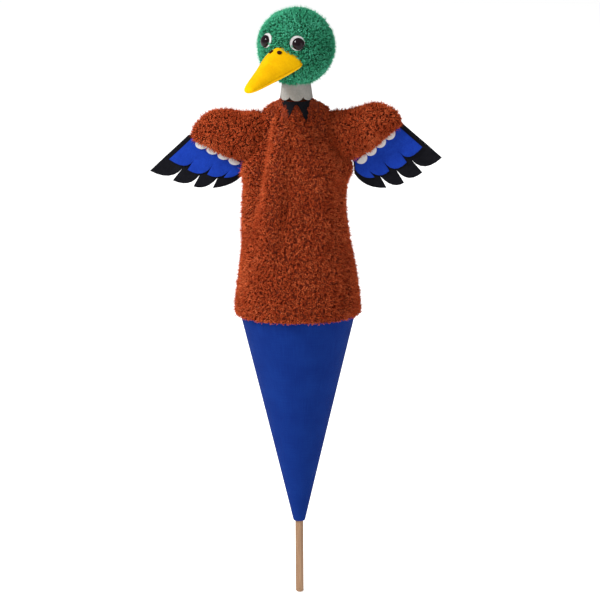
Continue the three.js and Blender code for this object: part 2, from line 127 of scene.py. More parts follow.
# ------------------------------------------------------------------ stick, spool, core and guide
# An 8 mm beech dowel, sanded and left bare, with its end chamfered. The turned pieces that are
# glued to it or run on it are the same wood: the neck's spool, the ball in the head and the tip's
# guide.


class Wire:
    """A shader socket that does sums, each of them one Math node."""

    def __init__(self, finish, socket):
        self.finish, self.socket = finish, socket

    def __add__(self, other):
        return self.finish.sum("ADD", self, other)

    def __sub__(self, other):
        return self.finish.sum("SUBTRACT", self, other)

    def __rsub__(self, other):
        return self.finish.sum("SUBTRACT", other, self)

    def __mul__(self, other):
        return self.finish.sum("MULTIPLY", self, other)

    def __truediv__(self, other):
        return self.finish.sum("DIVIDE", self, other)

    __radd__, __rmul__ = __add__, __mul__


def socket_name(word):
    """The shader's own name for a socket that is written here as a plain word."""
    return word.replace("_", " ").title().replace("Ior", "IOR")


class Finish:
    """A material with one Principled shader, and the means to wire patterns into it."""

    def __init__(self, name, **plain):
        self.material = bpy.data.materials.new(name)
        self.material.use_nodes = True
        self.tree = self.material.node_tree
        self.skin = self.tree.nodes["Principled BSDF"]
        for socket, value in plain.items():
            self.skin.inputs[socket_name(socket)].default_value = value

    def node(self, kind, settings, inputs, output=0):
        made = self.tree.nodes.new("ShaderNode" + kind)
        for key, value in settings.items():
            if key == "stops":
                ramp = made.color_ramp
                for place, colour in value[2:]:
                    ramp.elements.new(place)
                for element, (place, colour) in zip(ramp.elements, sorted(value)):
                    element.position, element.color = place, (*colour, 1)
            else:
                setattr(made, key, value)
        for key, value in inputs.items():
            if isinstance(value, Wire):
                self.tree.links.new(value.socket, made.inputs[key])
            else:
                made.inputs[key].default_value = value
        return Wire(self, made.outputs[output])

    def sum(self, operation, first, second):
        return self.node("Math", {"operation": operation}, {0: first, 1: second})

    def function(self, operation, value):
        return self.node("Math", {"operation": operation}, {0: value})

    def place(self, scale=(1, 1, 1)):
        """The piece's own coordinates in millimetres, stretched by scale."""
        own = self.node("TexCoord", {}, {}, "Object")
        to_mm = tuple(s / MM for s in scale)
        return self.node("Mapping", {}, {"Vector": own, "Scale": to_mm})

    def noise(self, where, size, detail=2.0, roughness=0.5):
        """Cloudy values round one half, with clouds about size across in where's units."""
        sockets = {"Vector": where, "Scale": 1 / size, "Detail": detail, "Roughness": roughness}
        return self.node("TexNoise", {}, sockets, "Fac")

    def attribute(self, name):
        return self.node("Attribute", {"attribute_name": name}, {}, "Fac")

    def spread(self, value, low, high):
        """value from low to high, as 0 to 1."""
        return self.node("MapRange", {}, {"Value": value, "From Min": low, "From Max": high})

    def mix(self, share, first, second):
        ends = [c if isinstance(c, Wire) else (*c, 1) for c in (first, second)]
        return self.node("Mix", {"data_type": "RGBA"}, {0: share, 6: ends[0], 7: ends[1]}, 2)

    def ramp(self, value, *stops):
        return self.node("ValToRGB", {"stops": list(stops)}, {"Fac": value})

    def feed(self, **wires):
        for socket, wire in wires.items():
            self.tree.links.new(wire.socket, self.skin.inputs[socket_name(socket)])

    def bump(self, height, depth):
        """Relief from height, which runs from 0 to 1, over depth millimetres."""
        relief = {"Height": height, "Strength": 1.0, "Distance": depth * MM}
        self.feed(normal=self.node("Bump", {}, relief))


def wood(name, light, dark):
    """Straight-grained wood with fine dark pores along the grain, which runs up Z."""
    finish = Finish(name, roughness=0.55, specular_ior_level=0.35)
    grain = finish.noise(finish.place((1, 1, 0.035)), 1.3, 4, 0.6)
    pores = finish.noise(finish.place((1, 1, 0.06)), 0.28, 2)
    pore = finish.spread(pores, 0.62, 0.74)
    wide = finish.noise(finish.place((0.35, 0.35, 0.02)), 2.0, 2)
    colour = finish.mix(finish.spread(grain * 0.7 + wide * 0.3, 0.36, 0.64), dark, light)
    colour = finish.mix(pore * 0.55, colour, tuple(c * 0.45 for c in dark))
    finish.feed(base_color=colour, roughness=0.5 + grain * 0.25)
    finish.bump(grain * 0.4 - pore * 0.5, 0.12)
    return finish.material


def dress(node, material):
    """Gives a CAD node that stays its material."""
    carried = frame["nodes"][node]
    carried.data.materials.clear()
    carried.data.materials.append(material)


beech = wood("bare_beech", (0.31, 0.185, 0.105), (0.21, 0.112, 0.056))
for node in ("rod", "neck_spool", "head_core", "tip_guide"):
    dress(node, beech)


# ------------------------------------------------------------------ cone
# A cone of grey-brown card, covered with royal-blue cotton. The cloth is glued on with one overlap
# down the back, and turned in over the rim and under the tip.


def profile(node):
    """A round CAD node's levels as rows of height, half width and half depth."""
    points = np.array([v.co for v in frame["nodes"][node].data.vertices])
    levels = np.unique(points[:, 2].round(5))
    rows = [np.abs(points[abs(points[:, 2] - z) < 2e-5]).max(0) for z in levels]
    return np.array([(z, row[0], row[1]) for z, row in zip(levels, rows)])


def begin(add, **sizes):
    """Adds a primitive with nothing else selected, and starts to edit it."""
    bpy.ops.object.select_all(action="DESELECT")
    add(enter_editmode=True, **sizes)


def finish_edit(name, smooth=True):
    """Closes poles, turns faces outwards and leaves edit mode."""
    bpy.ops.mesh.select_all(action="SELECT")
    bpy.ops.mesh.remove_doubles(threshold=1e-6)
    bpy.ops.mesh.normals_make_consistent(inside=False)
    bpy.ops.object.mode_set(mode="OBJECT")
    piece = bpy.context.object
    piece.name = piece.data.name = name
    if smooth:
        bpy.ops.object.shade_smooth()
    return piece


def rings(name, around, rows, shape, uv=None):
    """A tube of rings raised one by one from a circle, then shaped: shape(angle, share) gives each
    point, where angle is 0 at the front and grows towards +X, and share runs from 0 to 1."""
    begin(bpy.ops.mesh.primitive_circle_add, vertices=around, radius=1)
    for _ in range(rows):
        bpy.ops.mesh.extrude_region_move(TRANSFORM_OT_translate={"value": (0, 0, 1)})
    bpy.ops.object.mode_set(mode="OBJECT")
    mesh = bpy.context.object.data
    points = np.array([v.co for v in mesh.vertices])
    angle = np.arctan2(points[:, 0], -points[:, 1])
    share = points[:, 2].round() / rows
    placed = np.stack(np.broadcast_arrays(*shape(angle, share)), axis=1)
    mesh.vertices.foreach_set("co", placed.astype(np.float32).ravel())
    if uv:
        layer = mesh.uv_layers.new(name="cloth")
        corner = np.zeros(len(mesh.loops), np.int32)
        mesh.loops.foreach_get("vertex_index", corner)
        turn = angle[corner].reshape(-1, 4)
        wraps = np.ptp(turn, axis=1) > math.pi
        turn[wraps] = np.where(turn[wraps] < 0, turn[wraps] + 2 * math.pi, turn[wraps])
        flat = np.stack(uv(turn.ravel(), share[corner]), axis=1)
        layer.data.foreach_set("uv", flat.astype(np.float32).ravel())
    bpy.ops.object.mode_set(mode="EDIT")
    return finish_edit(name)


def apply(piece, kind, **settings):
    """Adds a modifier and applies it."""
    bpy.ops.object.select_all(action="DESELECT")
    piece.select_set(True)
    bpy.context.view_layer.objects.active = piece
    modifier = piece.modifiers.new(kind.lower(), kind)
    for key, value in settings.items():
        setattr(modifier, key, value)
    bpy.ops.object.modifier_apply(modifier=modifier.name)


card = Finish("grey_card", roughness=0.9)
fibres = card.noise(card.place(), 0.7, 4, 0.7)
card.feed(base_color=card.mix(fibres, (0.20, 0.14, 0.085), (0.34, 0.26, 0.17)))
card.bump(fibres, 0.08)
dress("cone_shell", card.material)

cover_low, cover_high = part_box("cone_cover")
shell_low, shell_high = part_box("cone_shell")
CLOTH = 0.55 * MM
TURN_IN = 14 * MM
TIP_HOLE = 4.7 * MM
rim_radius = cover_high.x
rim_z = shell_high.z
cone_rows = profile("cone_cover")
tip_z, tip_radius = cone_rows[np.argmax(cone_rows[:, 0] > cover_low.z + 1.5 * MM)][:2]
SLANT = math.hypot(rim_z - tip_z, rim_radius - tip_radius)

# The cloth's line from the hole in the tip, up the outside, over the rim and down inside.
cloth_line = [(TIP_HOLE, cover_low.z + 0.1 * MM), (tip_radius - 1.2 * MM, cover_low.z)]
cloth_line += [(tip_radius - 0.35 * MM, cover_low.z + 0.7 * MM), (tip_radius, tip_z)]
for step in range(1, 25):
    share = step / 25
    bow = 0.25 * MM * math.sin(math.pi * share)
    cloth_line.append(
        (
            tip_radius + (rim_radius - tip_radius) * share - bow,
            tip_z + (rim_z - tip_z) * share,
        )
    )
inside = rim_radius - 3.0 * MM
cloth_line += [(rim_radius, rim_z), (rim_radius - 0.4 * MM, rim_z + 0.8 * MM)]
cloth_line += [(inside + 0.5 * MM, rim_z + 0.8 * MM), (inside, rim_z)]
cloth_line += [(inside - TURN_IN * share * 0.244, rim_z - TURN_IN * share) for share in (0.35, 0.7, 1)]
cloth_line = np.array(cloth_line)
cloth_length = np.concatenate([[0], np.cumsum(np.hypot(*np.diff(cloth_line, axis=0).T))])
line_rows = len(cloth_line) - 1


def cloth_point(angle, share):
    row = (share * line_rows).round().astype(int)
    radius, height = cloth_line[row].T
    return radius * np.sin(angle), -radius * np.cos(angle), height


def cloth_uv(angle, share):
    """Millimetres round the cone at mid height, and along the cloth."""
    row = (share * line_rows).round().astype(int)
    return angle * rim_radius / 2 / MM, cloth_length[row] / MM


cone_cover = rings("cone_cloth", 144, line_rows, cloth_point, cloth_uv)
apply(cone_cover, "SOLIDIFY", thickness=CLOTH, offset=-1)
bpy.ops.object.shade_smooth_by_angle(angle=math.radians(50))


def cotton(name, dark, light):
    """Plain-weave cotton on the piece's own map of millimetres, with the slubs of its threads."""
    finish = Finish(name, roughness=0.9, specular_ior_level=0.05)
    flat = finish.node("UVMap", {"uv_map": "cloth"}, {})
    across = finish.node("SeparateXYZ", {}, {"Vector": flat}, "X")
    along = finish.node("SeparateXYZ", {}, {"Vector": flat}, "Y")
    thread = math.pi / 0.42
    warp = finish.function("SINE", across * thread)
    weft = finish.function("SINE", along * thread)
    weave = finish.function("ABSOLUTE", warp * weft)
    slubs = []
    for stretch in ((0.05, 2.2, 1), (2.2, 0.05, 1)):
        stretched = finish.node("Mapping", {}, {"Vector": flat, "Scale": stretch})
        slubs.append(finish.noise(stretched, 1, 3))
    slubs_across, slubs_along = slubs
    clouds = finish.noise(finish.place(), 22, 3)
    tone = weave * 0.28 + slubs_across * 0.3 + slubs_along * 0.3 + clouds * 0.35
    finish.feed(base_color=finish.mix(finish.spread(tone, 0.38, 0.86), dark, light))
    finish.bump(weave * 0.5 + slubs_across * 0.5 + slubs_along * 0.5, 0.1)
    return finish.material


cone_cover.data.materials.append(cotton("blue_cotton", (0.0015, 0.011, 0.105), (0.0055, 0.031, 0.185)))
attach(cone_cover, "cone")
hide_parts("cone_cover")

# The overlap down the cone's back, where the cloth's edge is folded under and stitched.
SEAM_WIDTH = 5.5 * MM
begin(bpy.ops.mesh.primitive_grid_add, x_subdivisions=3, y_subdivisions=60, size=1)
bpy.ops.object.mode_set(mode="OBJECT")
seam = bpy.context.object
points = np.array([v.co for v in seam.data.vertices])
share = (points[:, 1] + 0.5) * 0.985 + 0.005
radius = tip_radius + (rim_radius - tip_radius) * share + 0.12 * MM
turn = points[:, 0] * SEAM_WIDTH * (0.35 + 0.65 * share) / radius
placed = np.stack([radius * np.sin(turn), radius * np.cos(turn), tip_z + (rim_z - tip_z) * share], axis=1)
seam.data.vertices.foreach_set("co", placed.astype(np.float32).ravel())
for loop in seam.data.loops:
    place = points[loop.vertex_index]
    seam.data.uv_layers[0].data[loop.index].uv = place[0] * SEAM_WIDTH / MM, place[1] * SLANT / MM
seam.data.uv_layers[0].name = "cloth"
bpy.ops.object.mode_set(mode="EDIT")
finish_edit("cone_back_seam")
apply(seam, "SOLIDIFY", thickness=0.45 * MM, offset=1)
seam.data.materials.append(cone_cover.data.materials[0])
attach(seam, "cone")


# ------------------------------------------------------------------ glove
# One bag of rust-brown curly plush: the body from the hem, which is folded under and glued outside
# the cone's rim, up to the armpits, then the yoke, which is gathered and tied at the neck. The
# knitted ground is one piece and the pile another, because the pile stands on the cloth's cut size.

PILE = 2.9 * MM  # how far the curls stand off the ground
KNIT = 0.9 * MM
SPLIT_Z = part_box("glove_body")[1].z
NECK_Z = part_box("glove_yoke")[1].z
body_rows, yoke_rows = profile("glove_body"), profile("glove_yoke")
HEM_Z = body_rows[0, 0]
travel = {j["name"]: j["range_m"][1] for j in frame["joints"] if "range_m" in j}


SHARPER_FROM = 0.48  # the level from which the corners are rounded off less


def smoothed(rows, column, z):
    """The half width or depth at heights z, with the levels' corners rounded off."""
    either_way = np.linspace(-1, 1, 19)
    reach = either_way * np.where(z < SHARPER_FROM, 9, 3)[:, None] * MM
    weight = np.cos(either_way * math.pi / 2) + 0.02
    values = np.interp(z[:, None] + reach, rows[:, 0], rows[:, column])
    return (values * weight).sum(1) / weight.sum()


# Folds of the glove's front: how far out, how wide, and the x at heights z, all in millimetres.
FRONT_FOLDS = (
    (8.5, 10.0, ((500, -10), (481, -15), (460, -17), (432, -20), (403, -23), (354, -28), (335, -31))),
    (-7.0, 5.5, ((500, -17), (478, -28), (424, -37), (396, -42), (375, -47))),
    (4.4, 5.0, ((485, -29), (470, -36), (447, -44), (420, -49))),
    (-4.4, 6.5, ((490, -3), (460, -5), (432, -10), (400, -13), (350, -19))),
    (-5.0, 6.0, ((485, 15), (471, 22), (446, 43), (421, 46), (395, 44))),
    (2.4, 7.0, ((470, 12), (440, 20), (400, 23), (350, 26))),
    (-3.2, 5.0, ((335, 49), (304, 43.5), (290, 36))),
)
# Folds of its back: how far out in millimetres, the angle at the top and at the bottom.
BACK_FOLDS = ((3.0, 2.5, 2.75), (-3.0, 2.95, 2.8), (2.8, -2.55, -2.75), (-2.4, -2.1, -2.2))
FOLD_TOP, FOLD_FOOT = 0.485, 0.325
# Where the sides are drawn in or stand out: how far out in millimetres, the height, how far up and
# down, which side, and how sharply it fades towards the front and back. The last two are under the
# arms, where the sleeves' lower seams run into the cloth.
SIDE_SWELLS = (
    (-4.0, 0.395, 0.034, 1, 4),
    (2.8, 0.385, 0.030, -1, 4),
    (6.8, 0.436, 0.012, 1, 6),
    (2.5, 0.436, 0.012, -1, 6),
)
PLEATS = 13  # gathers round the tied neck
PLEAT_DEPTH = 1.1 * MM
PLEATS_FROM = 0.462


def drape(angle, z, wide):
    """How far the glove's cloth stands proud of an even tube, from its folds and gathers."""
    out = np.zeros_like(z)
    across = wide * np.sin(angle)
    for height, width, course in FRONT_FOLDS:
        course = np.array(course) * MM
        top, foot = course[0, 0], course[-1, 0]
        share = np.clip((top - z) / (top - foot), 0, 1)
        away = (across - np.interp(z, course[::-1, 0], course[::-1, 1])) / (width * MM)
        out += height * MM * np.sin(math.pi * share) ** 0.6 * np.exp(-(away**2)) * (np.cos(angle) > 0)
    share = np.clip((FOLD_TOP - z) / (FOLD_TOP - FOLD_FOOT), 0, 1)
    for height, start, end in BACK_FOLDS:
        away = np.angle(np.exp(1j * (angle - start - (end - start) * share))) / 0.15
        out += height * MM * np.sin(math.pi * share) ** 0.7 * np.exp(-(away**2))
    for height, level, reach, side, sharp in SIDE_SWELLS:
        sideways = np.clip(side * np.sin(angle), 0, 1) ** sharp
        out += height * MM * np.exp(-(((z - level) / reach) ** 2)) * sideways
    gather = np.clip((z - PLEATS_FROM) / (NECK_Z - PLEATS_FROM), 0, 1) ** 1.5
    return out + gather * PLEAT_DEPTH * np.cos(PLEATS * angle + 1.1 * np.sin(2 * angle))


def glove_shape(low, high, rows):
    def shape(angle, share):
        z = low + (high - low) * share
        wide, deep = smoothed(rows, 1, z), smoothed(rows, 2, z)
        out = drape(angle, z, wide) - PILE
        return (wide + out) * np.sin(angle), -(deep + out) * np.cos(angle), z

    return shape


# The shoulders are wide and flat from front to back, and drawn in under the ruff: height, half
# width and half depth in millimetres.
SHOULDER_ROWS = (
    (440, 46, 43.5),
    (450, 43, 41),
    (458, 40.5, 36.5),
    (466, 38.5, 31),
    (475, 36.5, 25.5),
    (485, 37, 19.8),
    (491, 34.5, 17.8),
    (495, 32, 16.6),
    (499, 26.5, 15.4),
    (502, 20, 14.8),
    (504.5, 16, 14.4),
)
below_shoulders = yoke_rows[1:][yoke_rows[1:, 0] < 0.439]
glove_rows = np.concatenate([body_rows, below_shoulders, np.array(SHOULDER_ROWS) * MM])
knit = Finish("brown_knit", roughness=1.0)
ribs = knit.noise(knit.place(), 0.8, 3, 0.6)
knit.feed(base_color=knit.mix(ribs, (0.16, 0.020, 0.005), (0.27, 0.037, 0.009)))
knit.bump(ribs, 0.4)


def plush(name, root, dark, light, bright):
    """Curly pile with painted shade at its roots, whose tufts took the dye a little unevenly."""
    finish = Finish(name, roughness=0.9, sheen_weight=0.04, sheen_roughness=0.5, specular_ior_level=0.1)
    finish.skin.inputs["Sheen Tint"].default_value = (*bright, 1)
    body = finish.ramp(finish.attribute("tone"), (0.08, dark), (0.9, bright), (0.5, light))
    length = finish.spread(finish.attribute("strand"), 0.0, 0.8)
    # Painted shade: each tuft runs from the root colour at its root to its dye at 0.8 of its length.
    finish.feed(base_color=finish.mix(length, root, body))
    return finish.material


def waves(points, size, seed, count=9):
    """A smooth random field over points, about -1 to 1, whose swells are about size across."""
    random = np.random.default_rng(seed)
    directions = random.normal(size=(count, 3))
    directions /= np.linalg.norm(directions, axis=1)[:, None]
    pitch = 2 * math.pi / (size * random.uniform(0.7, 1.5, count))
    phase = random.uniform(0, 2 * math.pi, count)
    return np.sin((points @ directions.T) * pitch + phase).sum(1) / math.sqrt(count)


# One tuft: a three-sided strand with a root, a bend and a point.
TUFT_POINTS = 7
TUFT_STRAND = np.array([0, 0, 0, 0.55, 0.55, 0.55, 1])
tuft_faces = [(0, 2, 1)]
for corner in range(3):
    after = (corner + 1) % 3
    tuft_faces += [(corner, after, after + 3), (corner, after + 3, corner + 3), (corner + 3, after + 3, 6)]
tuft_faces = np.array(tuft_faces)


def triangles_of(mesh, points):
    """The mesh's faces as triangles, in an order that depends on nothing but its shape."""
    rank = np.empty(len(points), int)
    rank[np.lexsort(points.round(5).T)] = np.arange(len(points))
    triangles = []
    for face in mesh.polygons:
        corners = list(face.vertices)
        first = corners.index(min(corners, key=lambda corner: rank[corner]))
        corners = corners[first:] + corners[:first]
        triangles += [(corners[0], *pair) for pair in zip(corners[1:], corners[2:])]
    return np.array(sorted(triangles, key=lambda triangle: tuple(rank[list(triangle)])))


def roots_on(mesh, count, random):
    """count points spread evenly over a mesh, and its smooth normals there."""
    points, normals = np.zeros((2, 3 * len(mesh.vertices)), np.float32)
    mesh.vertices.foreach_get("co", points)
    mesh.vertex_normals.foreach_get("vector", normals)
    points, normals = (flat.reshape(-1, 3).astype(float) for flat in (points, normals))
    a, b, c = triangles_of(mesh, points).T
    reach = np.cumsum(np.linalg.norm(np.cross(points[b] - points[a], points[c] - points[a]), axis=1))
    pick = np.searchsorted(reach, (np.arange(count) + random.random(count)) / count * reach[-1])
    pick = np.minimum(pick, len(a) - 1)
    u, v = random.random((2, count, 1))
    outside = u + v > 1
    u, v = np.where(outside, 1 - u, u), np.where(outside, 1 - v, v)
    a, b, c = a[pick], b[pick], c[pick]
    root = points[a] + u * (points[b] - points[a]) + v * (points[c] - points[a])
    up = normals[a] + u * (normals[b] - normals[a]) + v * (normals[c] - normals[a])
    return root, up / np.linalg.norm(up, axis=1)[:, None]


def lengthwise(vectors):
    return vectors / np.maximum(np.linalg.norm(vectors, axis=1), 1e-9)[:, None]


def curl_up(root, up, curls, random):
    """Which curl each tuft belongs to, the way it leans, the way across that, and the way to the
    curl's middle. Curls lean at random, but more down than up."""
    tree = KDTree(len(curls))
    for number, curl in enumerate(curls):
        tree.insert(root[curl], number)
    tree.balance()
    nearest = np.array([tree.find(place)[1] for place in root])
    heading = random.normal(size=(len(curls), 3)) + (0, 0, -0.6)
    lean = heading[nearest] + random.normal(0, 0.45, root.shape)
    lean = lengthwise(lean - up * (lean * up).sum(1)[:, None])
    pull = root[curls[nearest]] - root
    pull -= up * (pull * up).sum(1)[:, None]
    return nearest, lean, np.cross(up, lean), pull


def tuft_mesh(name, verts):
    """One mesh of all tufts, with a map in which each tuft has its own cell, side by side round the
    strand and up its length."""
    count = len(verts)
    faces = tuft_faces[None] + np.arange(count)[:, None, None] * TUFT_POINTS
    pile = bpy.data.meshes.new(name)
    pile.vertices.add(count * TUFT_POINTS)
    pile.vertices.foreach_set("co", verts.astype(np.float32).ravel())
    pile.loops.add(faces.size)
    pile.loops.foreach_set("vertex_index", faces.astype(np.int32).ravel())
    pile.polygons.add(faces.size // 3)
    pile.polygons.foreach_set("loop_start", np.arange(0, faces.size, 3, dtype=np.int32))
    pile.update(calc_edges=True)
    pile.polygons.foreach_set("use_smooth", np.ones(len(pile.polygons), bool))
    cells = math.ceil(math.sqrt(count))
    own = np.arange(count)
    around = np.array([0.1, 0.5, 0.9, 0.1, 0.5, 0.9, 0.5])
    corner = np.stack([around, 0.1 + 0.8 * TUFT_STRAND], axis=1)
    cell = np.stack([own % cells, own // cells], axis=1)[:, None, None]
    flat = (cell + corner[tuft_faces][None]) / cells
    pile.uv_layers.new(name="OFBake").data.foreach_set("uv", flat.astype(np.float32).ravel())
    return pile


STRAYS = 0.2  # the share of tufts that stand up out of their curl, longer and thinner
CURL_DRAW = 0.3  # how far the points of a curl draw together


def grow_pile(name, ground, count, length, thick, lock, seed, keep=None, shorten=None):
    """Stands count tufts on the ground's outer face, in curls about lock across. keep says which
    roots are wanted, and shorten gives each root's share of the length."""
    random = np.random.default_rng(seed)
    root, up = roots_on(ground.data, count, random)
    if keep is not None:
        wanted = keep(root)
        root, up = root[wanted], up[wanted]
    area = sum(face.area for face in ground.data.polygons) * len(root) / count
    count = len(root)
    curls = random.permutation(count)[: int(area / lock**2)]
    nearest, lean, across, pull = curl_up(root, up, curls, random)

    stray = random.random(count) < STRAYS
    long = length * random.uniform(0.75, 1.2, count) * np.where(stray, 1.25, 1)
    if shorten is not None:
        long *= shorten(root)
    long = long[:, None]
    thick = (thick * random.uniform(0.8, 1.2, count) * np.where(stray, 0.55, 1))[:, None]
    bend = random.uniform(-0.3, 0.3, (count, 1))
    height = np.where(stray, 1.0, random.uniform(0.6, 0.85, count))[:, None]
    bent = root + long * (up * 0.55 + lean * 0.12 + across * bend) + pull * CURL_DRAW * 0.45
    verts = np.zeros((count, TUFT_POINTS, 3))
    verts[:, 6] = root + long * (up * height + lean * (1.1 - height)) + pull * CURL_DRAW
    root = root - up * 0.1 * long
    for corner in range(3):
        turn = 2 * math.pi * corner / 3
        spoke = lean * math.cos(turn) + across * math.sin(turn)
        verts[:, corner] = root + spoke * thick * 0.5
        verts[:, corner + 3] = bent + (spoke - up * 0.4 * math.cos(turn)) * thick * 0.45

    pile = tuft_mesh(name, verts)
    dye = 0.5 + random.normal(0, 0.1, len(curls))[nearest] + random.normal(0, 0.15, count)
    dye += 0.08 * waves(root, 30 * MM, seed + 3)
    values = {
        "tone": np.repeat(np.clip(dye, 0, 1), TUFT_POINTS),
        "strand": np.tile(TUFT_STRAND, count),
    }
    for label, value in values.items():
        layer = pile.attributes.new(label, "FLOAT", "POINT")
        layer.data.foreach_set("value", value.astype(np.float32))
    made = bpy.data.objects.new(name, pile)
    bpy.context.scene.collection.objects.link(made)
    return made


# Root, dark, light and bright: the root colour is painted shade between the tufts, the rest is the dye.
BROWN = ((0.14, 0.015, 0.003), (0.31, 0.036, 0.009), (0.46, 0.068, 0.017), (0.72, 0.155, 0.052))
brown_plush = plush("brown_plush", *BROWN)

# The weight of a blend between two bodies is a smooth step. The body's split has to move with the
# torso, so the step's far end is put where its weight there gives the torso's share of the travel.
wanted = 1 - travel["body_gather"] / travel["cone_slide"]
steps = np.linspace(0, 1, 2001)
step_there = steps[np.argmin(abs(steps**2 * (3 - 2 * steps) - wanted))]
RIM_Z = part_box("cone_shell")[1].z
BODY_BLEND = (RIM_Z, RIM_Z + (SPLIT_Z - RIM_Z) / step_there)
YOKE_BLEND = (0.464, 0.507)  # from the shoulders, where the sleeves are, to the neck's top

# The ruff's points, which press the pile down in front of the neck.
RUFF_TOP_Z, RUFF_NOTCH_Z, RUFF_TIP_Z = 0.5038, 0.5008, 0.4838
RUFF_TOP, RUFF_TIP = 15.9 * MM, 21.0 * MM
POINTS = 6
PRESSED = 0.3  # the share of its length that pile under the ruff keeps
PRESSED_ROUND = 2.5 * MM  # how far past the ruff's edge it is pressed down


def ruff_edge(angle):
    """The height of the ruff's cut edge, with the drake's front between two points."""
    turn = angle * POINTS / (2 * math.pi)
    point = 1 - abs(2 * (turn - np.floor(turn)) - 1)
    return RUFF_NOTCH_Z + (RUFF_TIP_Z - RUFF_NOTCH_Z) * np.clip(point * 1.25 - 0.25, 0, 1) ** 1.1


def under_ruff(root):
    """The share of its length that each root's tuft keeps: less under the ruff and at the neck."""
    x, y, z = root.T
    covered = z > ruff_edge(np.arctan2(x, -y)) - PRESSED_ROUND
    covered &= np.hypot(x, y) < RUFF_TIP + 2 * MM
    near_neck = np.clip((YOKE_BLEND[1] - z) / 0.02, 0.5, 1)
    return np.where(covered, PRESSED, near_neck)


def in_front(root):
    return root[:, 1] < 0


def behind(root):
    return root[:, 1] >= 0


CURLS = {"thick": 0.85 * MM, "lock": 2.8 * MM}
glove_body = rings("glove_body_ground", 96, 44, glove_shape(HEM_Z + 0.6 * MM, SPLIT_Z, glove_rows))
body_piles = []
for half, keep, seed in (("front", in_front, 11), ("back", behind, 12)):
    pile_name = "glove_body_pile_" + half
    pile = grow_pile(pile_name, glove_body, 38000, 5.6 * MM, seed=seed, keep=keep, **CURLS)
    body_piles.append(pile)
glove_yoke = rings("glove_yoke_ground", 96, 34, glove_shape(SPLIT_Z, NECK_Z - 0.5 * MM, glove_rows))
shaped = {"seed": 21, "shorten": under_ruff}
yoke_pile = grow_pile("glove_yoke_pile", glove_yoke, 19500, 5.4 * MM, **CURLS, **shaped)

for ground, piles, bodies, (start, end), node in (
    (glove_body, body_piles, ("cone", "neck"), BODY_BLEND, "glove_body"),
    (glove_yoke, [yoke_pile], ("torso", "neck"), YOKE_BLEND, "glove_yoke"),
):
    apply(ground, "SOLIDIFY", thickness=KNIT, offset=-1)
    ground.data.materials.append(knit.material)
    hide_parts(node)
    for pile in piles:
        pile.data.materials.append(brown_plush)
    for piece in (ground, *piles):
        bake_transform(piece)


def tube_cut(rows, low, high):
    """The flat width and length of a tube of cloth between two heights, and its area."""
    heights = np.linspace(low, high, 60)
    girth = math.pi * (smoothed(rows, 1, heights) + smoothed(rows, 2, heights) - 2 * PILE)
    radius = girth / (2 * math.pi)
    lengths = np.hypot(np.diff(heights), np.diff(radius))
    area = float((lengths * (girth[1:] + girth[:-1]) / 2).sum())
    return (float(girth.max()), float(lengths.sum())), area


for ground, low, high, held in (
    (glove_body, HEM_Z, SPLIT_Z, "hung"),
    (glove_yoke, SPLIT_Z, NECK_Z, "gathered"),
):
    flat, area = tube_cut(glove_rows, low, high)


# ------------------------------------------------------------------ sleeves
# The glove's two arms, closed at the cuff and lightly stuffed, each with its shoulder. They are
# sewn to the yoke, and are built here at rest, bound to neither the torso nor the wing.

shoulders = {j["child"]: Vector(j["pos_m"]) for j in frame["joints"] if "wing" in j["name"]}
RIGHT_DROOP = math.radians(5.5)
wing_sides = (("left", 1, 0.0), ("right", -1, RIGHT_DROOP))


def wing_place(name, sign, droop):
    """Takes a wing's own frame, x out from the shoulder, to where the wing is at rest."""
    turn = Matrix.Rotation(sign * droop, 4, "Y")
    return Matrix.Translation(shoulders[name + "_wing"]) @ turn @ Matrix.Diagonal((sign, 1, 1, 1))


# Along the arm from the shoulder, in millimetres: x, middle z, half height, half depth.
ARM = np.array(
    [
        (-10.5, 8, 0, 0),
        (-10, 7, 17.5, 9),
        (-7, 5.5, 20.5, 12.5),
        (-2, 3.4, 22.8, 16),
        (4, 1.9, 24.4, 17.4),
        (8, 1.2, 25.2, 17.4),
        (20, 4.8, 24.8, 17.2),
        (30, 9.8, 23.3, 16.6),
        (37, 13.0, 20.8, 15.4),
        (46, 16.0, 15.4, 13),
        (52, 16.6, 11.2, 10.5),
        (57, 15.6, 6.4, 7),
        (59.5, 14.8, 0, 0),
    ]
)
ARM_SAG = {"left": 0.0, "right": 8.0}  # how far the arm's end hangs below a straight arm


def along(outline):
    """How far along an outline each of its points is."""
    return np.concatenate([[0], np.cumsum(np.hypot(*np.diff(outline, axis=0).T))])


def arm_shape(name, place):
    stations = along(ARM[:, [0, 2]])

    def shape(angle, share):
        at = share * stations[-1]
        x, middle_z, high, deep = (np.interp(at, stations, ARM[:, k]) for k in range(4))
        high, deep = (np.clip(half - PILE / MM, 0, None) for half in (high, deep))
        ripple = 1 + 0.03 * np.sin(3 * angle + x / 7) * np.sin(x / 9)
        sag = ARM_SAG[name] * (np.clip(x - 20, 0, None) / 40) ** 1.2
        z = middle_z - sag + high * ripple * np.sin(angle)
        local = np.stack([x, -deep * ripple * np.cos(angle), z]) * MM
        return tuple(place[:3, :3] @ local + place[:3, 3:])

    return shape


for name, sign, droop in wing_sides:
    place = np.array(wing_place(name, sign, droop))
    arm = rings(name + "_sleeve_ground", 64, 40, arm_shape(name, place))
    apply(arm, "SMOOTH", factor=0.5, iterations=6)
    pile = grow_pile(name + "_sleeve_pile", arm, 11000, 5.5 * MM, seed=31 + sign, **CURLS)
    for piece, material in ((arm, knit.material), (pile, brown_plush)):
        piece.data.materials.append(material)
        bodies = ("torso", name + "_wing")
        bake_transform(piece)
    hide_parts(name + "_sleeve", name + "_arm_stuffing")


# ------------------------------------------------------------------ wings
# Each wing is three felts sewn together into the sleeve's lower seam: black behind, blue in front
# of it, and a white strip with scallops. Cut felt has soft edges and curls a little at the tips.


